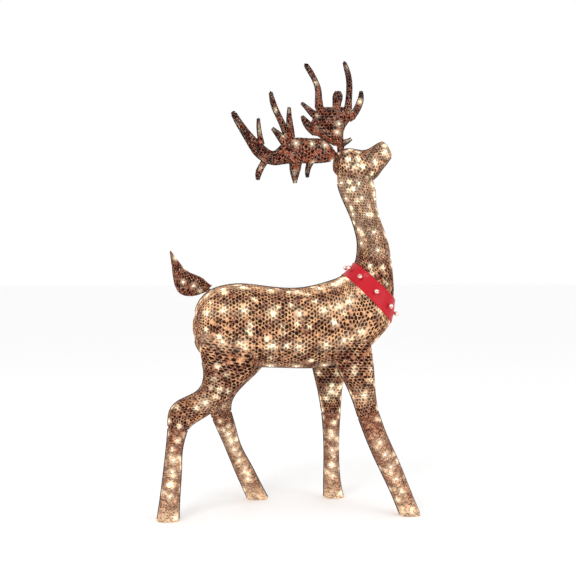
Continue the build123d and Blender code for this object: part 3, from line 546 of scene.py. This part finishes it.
def lamp_tips(name, node, cover, body):
    """Round-ended tips that stand out of the netting in front of each lamp of a node.

    Each is a capsule from the lamp's middle to a little past the nearest point of the cover, a list of
    (table, power): ring i has radius r sin(a_i) with a_i from 8 to 90 degrees at both ends."""
    centres, radius = lamp_centres(node), TIP_RADIUS
    u, v = np.meshgrid(np.linspace(0, 1, TIP_GRID[0])[:-1], np.linspace(0, 1, TIP_GRID[1]))
    skin = np.vstack([surface(table, power, u.ravel(), v.ravel()) for table, power in cover])
    shell = Shell()
    t = 2 * np.pi * np.arange(TIP_SIDES) / TIP_SIDES
    size = radius * np.concatenate([np.sin(TIP_ANGLES), np.sin(TIP_ANGLES[::-1])])
    back, front = -radius * np.cos(TIP_ANGLES), radius * np.cos(TIP_ANGLES[::-1])
    for centre in centres:
        tip = skin[((skin - centre) ** 2).sum(1).argmin()]
        way = tip - centre
        reach = np.linalg.norm(way)
        way = way / reach
        side = np.cross(way, TIP_ASLANT)
        side /= np.linalg.norm(side)
        other = np.cross(way, side)
        level = np.concatenate([back, reach + TIP_PROUD - radius + front])
        rings = centre + way * level[:, None, None] + size[:, None, None] * (
            np.cos(t)[:, None] * side + np.sin(t)[:, None] * other)
        capped(shell, rings, [centre - way * radius, centre + way * (reach + TIP_PROUD)], False)
    made = shell.make(name, tip_finish(), True)
    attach(made, body)
    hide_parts(node)


# ---- materials


def linked(tree, kind, inputs=(), **settings):
    """A node with settings, whose inputs are set or linked from (name or number, value or socket) pairs."""
    node = tree.nodes.new(kind)
    for key, value in settings.items():
        setattr(node, key, value)
    for key, value in inputs:
        if isinstance(value, bpy.types.NodeSocket):
            tree.links.new(value, node.inputs[key])
        else:
            node.inputs[key].default_value = value
    return node


def maths(tree, operation, a, b=0.0, clamp=False):
    """The output of a Math node."""
    return linked(tree, "ShaderNodeMath", [(0, a), (1, b)], operation=operation, use_clamp=clamp).outputs[0]


def mixed(tree, share, a, b):
    """The output of a colour Mix node."""
    node = linked(tree, "ShaderNodeMix", [(0, share), (6, a), (7, b)], data_type="RGBA")
    return node.outputs[2]


def scaled(tree, value, share):
    """The output of a Math node that multiplies."""
    return maths(tree, "MULTIPLY", value, share)


def noise_of(tree, where, scale, detail):
    """The value of a Noise Texture node."""
    inputs = [("Vector", where), ("Scale", scale), ("Detail", detail)]
    return linked(tree, "ShaderNodeTexNoise", inputs).outputs[0]


def rgba(colour):
    """A colour with its alpha, as nodes take it."""
    return (*tuple(colour)[:3], 1.0)


def netting_group():
    """Node group of the netting: three colours mixed by noise and by the holes, and the lamps' glow."""
    group = bpy.data.node_groups.new("Netting threads", "ShaderNodeTree")
    for names, way, kind in (
        (("Thread", "Shade", "Hollow", "Glow Colour"), "INPUT", "NodeSocketColor"),
        (("Patch", "Weave", "Hole", "Chance", "Glow", "Dark"), "INPUT", "NodeSocketFloat"),
        (("Colour", "Light"), "OUTPUT", "NodeSocketColor"),
        (("Roughness", "Height"), "OUTPUT", "NodeSocketFloat"),
    ):
        for name in names:
            group.interface.new_socket(name, in_out=way, socket_type=kind)
    enter = linked(group, "NodeGroupInput").outputs
    where = linked(group, "ShaderNodeTexCoord").outputs["Object"]
    patch, thread = noise_of(group, where, enter["Patch"], 4.0), noise_of(group, where, enter["Weave"], 2.0)
    flake = linked(group, "ShaderNodeTexVoronoi", [("Vector", where), ("Scale", FLAKES)]).outputs["Color"]
    flake = linked(group, "ShaderNodeSeparateColor", [(0, flake)]).outputs[0]
    spark = maths(group, "GREATER_THAN", flake, DULL_FLAKES)
    tone = maths(group, "ADD", scaled(group, patch, PATCH_TONE), scaled(group, thread, THREAD_TONE))
    tone = maths(group, "ADD", tone, scaled(group, enter["Chance"], CHANCE_TONE))
    tone = maths(group, "SUBTRACT", tone, maths(group, "ADD", enter["Dark"], DARK_TONE), clamp=True)
    colour = mixed(group, tone, enter["Shade"], enter["Thread"])
    colour = mixed(group, scaled(group, spark, 0.35), colour, GLITTER_WHITE)
    # The hollow colour on the hole floors is painted shade.
    hollow = maths(group, "SUBTRACT", scaled(group, enter["Hole"], 1.25), 0.12, clamp=True)
    colour = mixed(group, hollow, colour, enter["Hollow"])
    dimmed = maths(group, "SUBTRACT", 1.0, scaled(group, hollow, HOLE_DIMMING))
    lit = maths(group, "MULTIPLY", enter["Glow"], dimmed)
    lit = maths(group, "MULTIPLY", lit, maths(group, "ADD", 0.45, scaled(group, thread, 1.1)))
    light = mixed(group, 1.0, BLACK, enter["Glow Colour"])
    light = linked(group, "ShaderNodeVectorMath", [(0, light), ("Scale", lit)], operation="SCALE").outputs[0]
    rough = maths(group, "SUBTRACT", NETTING_ROUGHNESS, scaled(group, spark, FLAKE_SHINE))
    height = maths(group, "ADD", scaled(group, thread, 0.7), scaled(group, spark, 0.3))
    made = [("Colour", colour), ("Roughness", rough), ("Height", height), ("Light", light)]
    linked(group, "NodeGroupOutput", made)
    return group


def new_material(name):
    """A material with its node tree and its shader."""
    made = bpy.data.materials.new(name)
    made.use_nodes = True
    return made, made.node_tree, made.node_tree.nodes["Principled BSDF"]


def netting_material(name, group, thread, shade, hollow, glow, patch, weave_scale, strength):
    """A netting finish: the group's colours on a rough surface with little shine."""
    made, tree, shader = new_material(name)
    inputs = [("Thread", rgba(thread)), ("Shade", rgba(shade)), ("Hollow", rgba(hollow)),
              ("Glow Colour", rgba(glow)), ("Patch", patch), ("Weave", weave_scale)]
    for key in ("Hole", "Chance", "Glow", "Dark"):
        value = linked(tree, "ShaderNodeAttribute", attribute_name=key.lower()).outputs["Fac"]
        inputs.append((key, value))
    node = linked(tree, "ShaderNodeGroup", inputs, node_tree=group)
    tree.links.new(node.outputs["Colour"], shader.inputs["Base Color"])
    tree.links.new(node.outputs["Roughness"], shader.inputs["Roughness"])
    tree.links.new(node.outputs["Light"], shader.inputs["Emission Color"])
    relief = [("Height", node.outputs["Height"]), ("Strength", 0.5), ("Distance", 0.001)]
    bump = linked(tree, "ShaderNodeBump", relief)
    tree.links.new(bump.outputs[0], shader.inputs["Normal"])
    shader.inputs["Emission Strength"].default_value = strength
    shader.inputs["Specular IOR Level"].default_value = NETTING_SPECULAR
    return made


def plain_material(name, colour, other, roughness, metallic, scale, share=0.5, bump=0.15, coat=0.0, light=0.0,
                   specular=0.5):
    """A finish of two colours mixed by noise, for metal, plastic, ribbon, floor and lamps."""
    made, tree, shader = new_material(name)
    noise = noise_of(tree, linked(tree, "ShaderNodeTexCoord").outputs["Object"], scale, 3.0)
    mask = maths(tree, "MULTIPLY", maths(tree, "SUBTRACT", noise, 0.4), 4.0 * share, clamp=True)
    shade = mixed(tree, mask, rgba(colour), rgba(other))
    tree.links.new(shade, shader.inputs["Base Color"])
    tree.links.new(maths(tree, "ADD", roughness, scaled(tree, noise, 0.15)), shader.inputs["Roughness"])
    shader.inputs["Metallic"].default_value = metallic
    shader.inputs["Coat Weight"].default_value = coat
    shader.inputs["Specular IOR Level"].default_value = specular
    node = linked(tree, "ShaderNodeBump", [("Height", noise), ("Strength", bump), ("Distance", 0.0005)])
    tree.links.new(node.outputs[0], shader.inputs["Normal"])
    if light:
        tree.links.new(shade, shader.inputs["Emission Color"])
        shader.inputs["Emission Strength"].default_value = light
    return made


def finish_named(key):
    """A netting finish by its slot, made from the colour settings the first time it is asked for."""
    colours = bpy.context.scene.reindeer_colours
    group = bpy.data.node_groups.get("Netting threads") or netting_group()
    hollow, glow = colours.hollow, colours.glow
    copper, brown, dark = colours.antler_light, colours.antler, colours.antler_dark
    # Name; thread, shade, hollow and glow; patches and weave per metre; strength of the glow.
    name, *finish = {
        "glitter_netting": ("Cream netting", colours.thread, colours.shade, hollow, glow, 42.0, 150.0, 2.1),
        "leg_netting": (
            "Leg netting", colours.leg, colours.leg_shade, colours.leg_hollow, glow, 45.0, 160.0, 1.15),
        "antler_netting": ("Antler netting", copper, brown, dark, glow, 55.0, 220.0, 1.35),
        "binding_wire": ("Binding wire", dark, dark, hollow, glow, 40.0, 300.0, 0.0),
    }[key]
    return bpy.data.materials.get(name) or netting_material(name, group, *finish)


def tip_finish():
    """The lit ends of the lamps."""
    glow = bpy.context.scene.reindeer_colours.glow
    made = bpy.data.materials.get("Lit lamp")
    return made or plain_material("Lit lamp", LAMP_WHITE, glow, 0.3, 0.0, 90.0, light=LAMP_LIGHT)


# ---- settings


def length_setting(name, description, default):
    """A length property, in metres."""
    return bpy.props.FloatProperty(name=name, description=description, default=default, unit="LENGTH")


class ReindeerSizes(bpy.types.PropertyGroup):
    """Sizes of the netting's meshes and of the lamps' glow."""

    body_cell: length_setting("Body mesh", "Width of one hole of the body's netting", 0.0105)
    head_cell: length_setting("Head mesh", "Width of one hole of the head's netting", 0.0095)
    leg_cell: length_setting("Leg mesh", "Width of one hole of the lower legs' netting", 0.0075)
    antler_cell: length_setting("Antler mesh", "Width of one hole of the antlers' netting", 0.006)
    depth: length_setting("Mesh depth", "How deep a hole in the netting goes", 0.002)
    core: length_setting("Glow core", "Size of the bright spot over a lamp", 0.0085)
    halo: length_setting("Glow halo", "Size of the soft light round a lamp", 0.021)
    # The glints are painted bright spots of lamp light on the glitter.
    glint: length_setting("Glint", "Size of the glitter's bright spots between the lamps", 0.0065)
    leg_core: length_setting("Leg glow core", "Size of the bright spot over a leg lamp", 0.0095)


def colour_setting(name, description, default):
    """A colour property."""
    return bpy.props.FloatVectorProperty(
        name=name, description=description, default=default, subtype="COLOR", size=3, min=0.0, max=1.0)


class ReindeerColours(bpy.types.PropertyGroup):
    """Colours of the finishes."""

    thread: colour_setting("Thread", "Cream and gold threads of the netting", (0.74, 0.38, 0.18))
    shade: colour_setting("Shade", "Brown threads and shadows of the netting", (0.17, 0.045, 0.02))
    # The hollow colours are painted shade on the floors of the holes.
    hollow: colour_setting("Hollow", "Dark inside of the netting's holes", (0.012, 0.004, 0.002))
    leg: colour_setting("Leg thread", "Tan threads of the lower legs", (0.62, 0.29, 0.14))
    leg_shade: colour_setting("Leg shade", "Brown threads of the lower legs", (0.2, 0.06, 0.028))
    # Painted shade on the floors of the lower legs' holes.
    leg_hollow: colour_setting("Leg hollow", "Inside of the lower legs' holes", (0.1, 0.032, 0.016))
    antler_light: colour_setting("Antler copper", "Copper threads of the antlers", (0.25, 0.055, 0.02))
    antler: colour_setting("Antler", "Dark brown threads of the antlers", (0.045, 0.009, 0.006))
    # Painted shade on the floors of the antlers' holes; it is also the own colour of the edge wires.
    antler_dark: colour_setting("Antler dark", "Inside of the antlers' holes", (0.006, 0.003, 0.003))
    glow: colour_setting("Glow", "Colour of the lamps' light", (1.0, 0.82, 0.55))
    ribbon: colour_setting("Ribbon", "Red of the collar", (0.36, 0.0, 0.008))
    bell: colour_setting("Bell", "Metal of the bells", (0.9, 0.62, 0.55))
    steel: colour_setting("Steel", "Brown powder coat of the frame", (0.12, 0.07, 0.045))
    floor: colour_setting("Floor", "Pale floor of the stage", (0.96, 0.96, 0.96))


def netting(name, tubes, body, node, slot, lamps, core, halo, glints, shading, stretch=1.0, closed=0.12,
            floor_light=0.0):
    """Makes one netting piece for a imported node, of tubes (table, power, cell, open start, open end)."""
    sizes = bpy.context.scene.reindeer_sizes
    shell = Shell()
    for number, (table, power, cell, open_start, open_end) in enumerate(tubes):
        weave(shell, table, power, cell / SCALE, stretch, sizes.depth / SCALE, open_start, open_end,
              len(name) * SEED_STEP + number, closed, shading)
    lit = glow_of(lamp_centres(lamps), core / SCALE, halo / SCALE)
    sparks = glints_of(tubes, glints, len(name), sizes.glint / SCALE)

    def glow(points):
        """The painted light of the lamps, painted glints on the glitter, and for the legs painted light near
        the floor.
        """
        low = np.exp(-(points[:, 2] / FLOOR_GLOW_HEIGHT) ** 2)
        return lit(points) + sparks(points) + floor_light * low

    made = shell.make(name, finish_named(slot), False, glow=glow)
    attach(made, body)
    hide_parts(node)


def binding_piece(name, lines, body):
    """Makes the wires bound along the edges of tubes, from (table, power, u, low, high) lines."""
    shell = Shell()
    for table, power, u, low, high in lines:
        binding(shell, table, power, u, low, high)
    made = shell.make(name, finish_named("binding_wire"), True, glow=lambda points: np.zeros(len(points)))
    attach(made, body)


# ---- operators


class Step:
    """What every step shares: it runs its make method with the scene's settings."""

    def execute(self, context):
        self.make(context.scene)
        return {"FINISHED"}


class REINDEER_OT_body(Step, bpy.types.Operator):
    """Netting, lamps and edge wires of the torso and thighs"""

    bl_idname = "reindeer.body"
    bl_label = "Body netting"

    def make(self, scene):
        sizes = scene.reindeer_sizes
        tubes = [(TORSO, ROUND, sizes.body_cell, False, True)]
        # The shading paints shade along the belly and makes the chest end lighter.
        netting("torso_netting", tubes, "body", "body_skin", "glitter_netting", "body_led_lenses",
                sizes.core, sizes.halo, 150,
                lambda u, v: 0.75 * np.exp(-((u - np.round(u)) / 0.07) ** 2) - 0.4 * (v > 0.85))
        thighs = [(UPPER[leg], BOXY, sizes.head_cell, False, True) for leg in LEGS]
        netting("thigh_netting", thighs, "body", "body_skin", "glitter_netting", "body_led_lenses",
                sizes.core, sizes.halo, 26, lambda u, v: 0.25 + 0.6 * np.clip((v - 0.93) / 0.07, 0, 1))
        lines = [(TORSO, ROUND, u, 0.03, 0.97) for u in (0.0, 0.5)]
        lines += [(UPPER[leg], BOXY, u, 0.3, 0.99) for leg in LEGS for u in (0.0, 0.5)]
        binding_piece("body_edge_wires", lines, "body")
        cover = [(TORSO, ROUND)] + [(UPPER[leg], BOXY) for leg in LEGS]
        lamp_tips("body_lamp_tips", "body_led_lenses", cover, "body")


class REINDEER_OT_head(Step, bpy.types.Operator):
    """Netting, lamps and edge wires of the neck and head"""

    bl_idname = "reindeer.head"
    bl_label = "Neck and head netting"

    def make(self, scene):
        sizes = scene.reindeer_sizes
        tubes = [(NECK, ROUND, sizes.head_cell, True, False), (HEAD, ROUND, sizes.head_cell, False, False)]
        netting("head_netting", tubes, "neck_and_head", "head_skin", "glitter_netting",
                "head_led_lenses", sizes.glint, sizes.halo, 50, lambda u, v: 0.0 * u + 0.4, closed=0.08)
        lines = [(NECK, ROUND, u, 0.03, 0.9) for u in (0.0, 0.5)]
        lines += [(HEAD, ROUND, 0.0, 0.25, 0.99), (HEAD, ROUND, 0.5, 0.05, 0.99)]
        binding_piece("head_edge_wires", lines, "neck_and_head")
        lamp_tips("head_lamp_tips", "head_led_lenses", [(NECK, ROUND), (HEAD, ROUND)], "neck_and_head")


class REINDEER_OT_tail(Step, bpy.types.Operator):
    """Netting and lamps of the tail"""

    bl_idname = "reindeer.tail"
    bl_label = "Tail netting"

    def make(self, scene):
        sizes = scene.reindeer_sizes
        tubes = [(TAIL, ROUND, sizes.leg_cell, True, False)]
        netting("tail_netting", tubes, "tail", "tail_skin", "glitter_netting",
                "tail_led_lenses", sizes.glint, sizes.glint, 8, lambda u, v: 0.75 + 0.4 * v, closed=0.2)
        lamp_tips("tail_lamp_tips", "tail_led_lenses", [(TAIL, ROUND)], "tail")


class REINDEER_OT_legs(Step, bpy.types.Operator):
    """Netting, lamps and edge wires of the four lower legs"""

    bl_idname = "reindeer.legs"
    bl_label = "Lower leg netting"

    def make(self, scene):
        sizes = scene.reindeer_sizes

        def shading(u, v):
            """Painted shade along the edges, darker in thin bands, and painted light that makes it paler
            towards the foot.
            """
            edges = 0.65 * np.exp(-(np.sin(2 * np.pi * u) / 0.45) ** 2)
            return 0.42 - 0.75 * v**2 + 0.3 * (np.sin(v * 64) > 0.75) + edges

        for leg in LEGS:
            body, table = leg + "_lower_leg", LOWER[leg]
            tubes = [(table, BOXY, sizes.leg_cell, True, True)]
            netting(leg + "_leg_netting", tubes, body, leg + "_leg_skin", "leg_netting",
                    leg + "_leg_led_lenses", sizes.leg_core, sizes.halo, 34, shading,
                    stretch=0.62, closed=0.45, floor_light=0.4)
            lines = [(table, BOXY, u, 0.01, 0.99) for u in (0.0, 0.5)]
            binding_piece(leg + "_leg_edge_wires", lines, body)
            lamp_tips(leg + "_leg_lamp_tips", leg + "_leg_led_lenses", [(table, BOXY)], body)


class REINDEER_OT_antlers(Step, bpy.types.Operator):
    """Netting, lamps and edge wires of the two antlers"""

    bl_idname = "reindeer.antlers"
    bl_label = "Antlers"

    def make(self, scene):
        sizes = scene.reindeer_sizes
        for side, parts in ANTLERS.items():
            beam = parts["beam"]
            tubes = [(beam, ROUND, sizes.antler_cell, False, False)]
            round_parts = (*parts["tines"], parts["root"])
            tubes += [(prong(points), ROUND, sizes.antler_cell, False, False) for points in round_parts]
            netting(side + "_netting", tubes, side, side + "_skin", "antler_netting",
                    side + "_led_lenses", sizes.core, sizes.core, 2, lambda u, v: 1.2 * (v - 0.45),
                    stretch=1.9, closed=0.3)
            lines = [(beam, ROUND, u, 0.02, 0.98) for u in (0.0, 0.5)]
            lines += [(prong(points), ROUND, u, 0.1, 0.97) for points in parts["tines"] for u in (0.0, 0.5)]
            binding_piece(side + "_edge_wires", lines, side)
            lamp_tips(side + "_lamp_tips", side + "_led_lenses", [(beam, ROUND)], side)


class REINDEER_OT_ribbon(Step, bpy.types.Operator):
    """The folded glitter ribbon of the collar"""

    bl_idname = "reindeer.ribbon"
    bl_label = "Collar ribbon"

    def make(self, scene):
        colours = scene.reindeer_colours
        # The ribbon's tube runs over the last rows of the torso and on to the second row of the neck.
        around = np.vstack([TORSO[-3:], NECK[1:2]])
        below = around[0] + RIBBON_START * (around[1] - around[0])
        table = np.vstack([below, around[1:]])
        turns, across = RIBBON_GRID
        shell = Shell()
        u = np.repeat(np.arange(turns) / turns, across)
        w = np.tile(np.linspace(0, 1, across), turns)
        out = normals(table, ROUND, u, w)
        hem = 0.9 * (np.exp(-((w - 0.06) / 0.05) ** 2) + np.exp(-((w - 0.94) / 0.05) ** 2))
        fold = 0.5 * np.sin(2 * np.pi * (9 * u + 0.6 * w)) * np.sin(np.pi * w)
        fold = fold + 0.25 * np.sin(2 * np.pi * 31 * u) * hem
        base = surface(table, ROUND, u, w)
        outside = base + out * (RIBBON_OUTSIDE + hem + 0.6 * fold)[:, None]
        inside = base + out * RIBBON_INSIDE
        i, j = np.meshgrid(np.arange(turns), np.arange(across - 1), indexing="ij")
        i, j = i.ravel(), j.ravel()
        n = (i + 1) % turns
        front = np.column_stack([i * across + j, n * across + j, n * across + j + 1, i * across + j + 1])
        inner = turns * across
        back = front[:, ::-1] + inner
        rims = []
        for column, flip in ((0, True), (across - 1, False)):
            here = np.arange(turns) * across + column
            after = np.roll(here, -1)
            rim = np.column_stack([here, after, after + inner, here + inner])
            rims.append(rim[:, ::-1] if flip else rim)
        shell.add(np.vstack([outside, inside]), [], np.vstack([front, back] + rims), hole=0.0)
        satin = plain_material("Red glitter ribbon", colours.ribbon, RIBBON_SPARK, 0.4, 0.0, 1400.0,
                               share=0.8, bump=0.5, coat=0.12, specular=0.2)
        made = shell.make("collar_ribbon", satin, True)
        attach(made, "neck_and_head")
        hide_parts("collar_band")


class REINDEER_OT_finishes(Step, bpy.types.Operator):
    """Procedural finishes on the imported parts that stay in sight"""

    bl_idname = "reindeer.finishes"
    bl_label = "Metal and plastic finishes"

    def make(self, scene):
        colours = scene.reindeer_colours
        # Name, two colours, roughness, metallic, noise per metre, and for the bells share, bump and coat.
        finishes = {
            "frame_steel": ("Painted wire", colours.steel, (0.08, 0.045, 0.03), 0.4, 0.2, 160.0),
            "light_string": ("Lamp string", (0.3, 0.18, 0.1), (0.2, 0.12, 0.07), 0.45, 0.0, 220.0),
            "bell_metal": ("Bell metal", colours.bell, (0.95, 0.8, 0.7), 0.12, 0.9, 60.0, 0.4, 0.05, 0.4),
            "pellet_steel": ("Pellet steel", (0.4, 0.4, 0.4), (0.25, 0.25, 0.26), 0.3, 1.0, 200.0),
            "plug_plastic": ("Dark plastic", (0.03, 0.03, 0.032), (0.06, 0.06, 0.06), 0.45, 0.0, 120.0),
        }
        kinds = {slot: plain_material(*finish) for slot, finish in finishes.items()}
        slots = {part["node"]: part["material_slot"] for part in frame["record"]["subparts"]}
        for name, node in frame["nodes"].items():
            if slots[name] in kinds:
                node.data.materials.clear()
                node.data.materials.append(kinds[slots[name]])


class REINDEER_OT_stage(Step, bpy.types.Operator):
    """Pale floor, soft studio lights and the camera"""

    bl_idname = "reindeer.stage"
    bl_label = "Stage"

    def make(self, scene):
        colours = scene.reindeer_colours
        mesh = bpy.data.meshes.new("studio_floor")
        ways = ((-1, -1), (1, -1), (1, 1), (-1, 1))
        corners = [(x * FLOOR_HALF, y * FLOOR_HALF, FLOOR_LEVEL) for x, y in ways]
        mesh.from_pydata(corners, [], [(0, 1, 2, 3)])
        pale = colours.floor
        mesh.materials.append(plain_material("Pale floor", pale, pale, 0.6, 0.0, 3.0, bump=0.0))
        floor = bpy.data.objects.new("studio_floor", mesh)
        scene.collection.objects.link(floor)
        world = bpy.data.worlds.new("Studio")
        world.use_nodes = True
        sky = world.node_tree.nodes["Background"].inputs
        sky["Color"].default_value, sky["Strength"].default_value = WHITE, 1.0
        scene.world = world
        scene.view_settings.view_transform = "Standard"
        for name, place, power, size in LIGHTS:
            data = bpy.data.lights.new(name, "AREA")
            data.energy, data.size = power, size
            lamp = bpy.data.objects.new(name, data)
            lamp.location = place
            lamp.rotation_euler = (Vector(LIGHT_AIM) - Vector(place)).to_track_quat("-Z", "Y").to_euler()
            scene.collection.objects.link(lamp)
        data = bpy.data.cameras.new("camera")
        data.lens, data.sensor_width = CAMERA_LENS, CAMERA_SENSOR
        camera = bpy.data.objects.new("camera", data)
        camera.location = CAMERA_PLACE
        camera.rotation_euler = Vector(CAMERA_LOOK).to_track_quat("-Z", "Y").to_euler()
        scene.collection.objects.link(camera)
        scene.camera = camera


class REINDEER_PT_panel(bpy.types.Panel):
    """Lists the steps that make the reindeer's looks"""

    bl_label = "Reindeer"
    bl_idname = "REINDEER_PT_panel"
    bl_space_type = "VIEW_3D"
    bl_region_type = "UI"
    bl_category = "Reindeer"

    def draw(self, context):
        for step in STEPS:
            self.layout.operator(step.bl_idname)


STEPS = (
    REINDEER_OT_body, REINDEER_OT_head, REINDEER_OT_tail, REINDEER_OT_legs, REINDEER_OT_antlers,
    REINDEER_OT_ribbon, REINDEER_OT_finishes, REINDEER_OT_stage,
)
CLASSES = (ReindeerSizes, ReindeerColours, *STEPS, REINDEER_PT_panel)


def register():
    for each in CLASSES:
        bpy.utils.register_class(each)
    bpy.types.Scene.reindeer_sizes = bpy.props.PointerProperty(type=ReindeerSizes)
    bpy.types.Scene.reindeer_colours = bpy.props.PointerProperty(type=ReindeerColours)


def unregister():
    del bpy.types.Scene.reindeer_colours
    del bpy.types.Scene.reindeer_sizes
    for each in reversed(CLASSES):
        bpy.utils.unregister_class(each)


def main():
    """Runs every step in order."""
    register()
    for step in STEPS:
        family, name = step.bl_idname.split(".")
        getattr(getattr(bpy.ops, family), name)()


if __name__ == "__main__":
    main()
